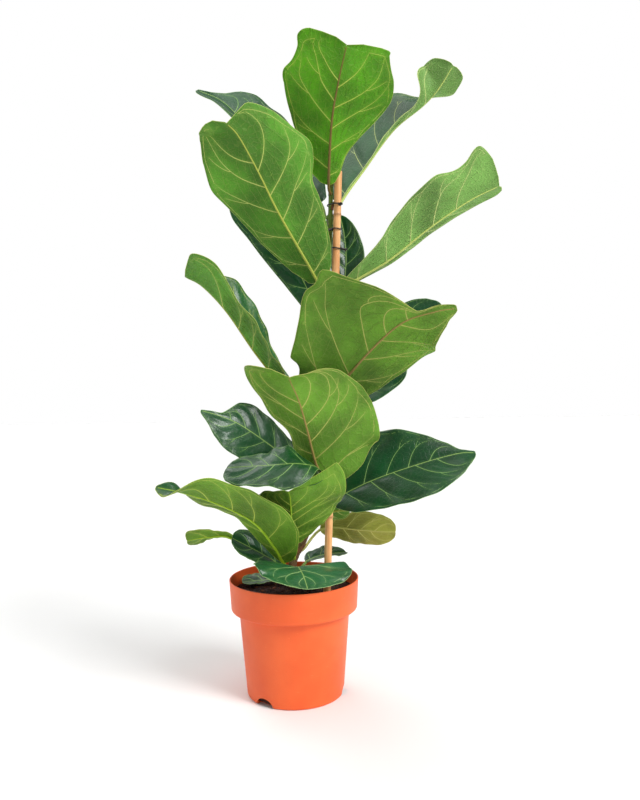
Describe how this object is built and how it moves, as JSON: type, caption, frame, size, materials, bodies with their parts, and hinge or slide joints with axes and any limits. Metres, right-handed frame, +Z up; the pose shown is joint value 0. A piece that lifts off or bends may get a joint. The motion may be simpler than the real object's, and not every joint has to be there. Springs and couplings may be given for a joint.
{
  "type": "potted fiddle leaf fig",
  "caption": "Young fiddle leaf fig tied to a bamboo cane, growing in soil in a round plastic nursery pot with a folded collar and drain notches.",
  "frame": {"origin": "centre of the pot's flat underside, where it rests on a surface", "axes": "+Z up along the pot's axis, -Y towards the plant's front, +X to its right as seen from the front"},
  "size_m": [0.4824, 0.2566, 0.9365],
  "materials": {
    "pot_plastic": "satin orange nursery plastic",
    "potting_soil": "matte dark peat and bark crumbs",
    "stem_bark": "matte green turning brown at the foot",
    "bamboo": "satin pale bamboo",
    "tie_wire": "matte dark paper-and-wire tie",
    "leaf_young": "satin leaf, pale ribbed underside",
    "leaf_old": "glossy dark leaf with pale veins"
  },
  "bodies": {
    "root": {"pot": "pot_plastic", "soil": "potting_soil", "stem": "stem_bark", "cane": "bamboo", "tie_lower": "tie_wire", "tie_middle": "tie_wire", "tie_upper": "tie_wire", "leaf_crown": "leaf_young", "leaf_upper_left": "leaf_young", "leaf_far_left": "leaf_old", "leaf_back_left": "leaf_old", "leaf_upper_right": "leaf_young", "leaf_centre": "leaf_young", "leaf_front": "leaf_young", "leaf_back_right": "leaf_old", "leaf_right": "leaf_young", "leaf_back": "leaf_old", "leaf_mid_left": "leaf_young", "leaf_left_dark": "leaf_old", "leaf_low_front": "leaf_young", "leaf_low_left_dark": "leaf_old", "leaf_low_left": "leaf_young", "leaf_small_left": "leaf_young", "leaf_under_left": "leaf_old", "leaf_rim_front": "leaf_old", "leaf_low_back_right": "leaf_old", "leaf_on_soil": "leaf_old", "leaf_low_right": "leaf_old", "leaf_olive_right": "leaf_young", "leaf_bright_back": "leaf_young"}
  },
  "joints": []
}
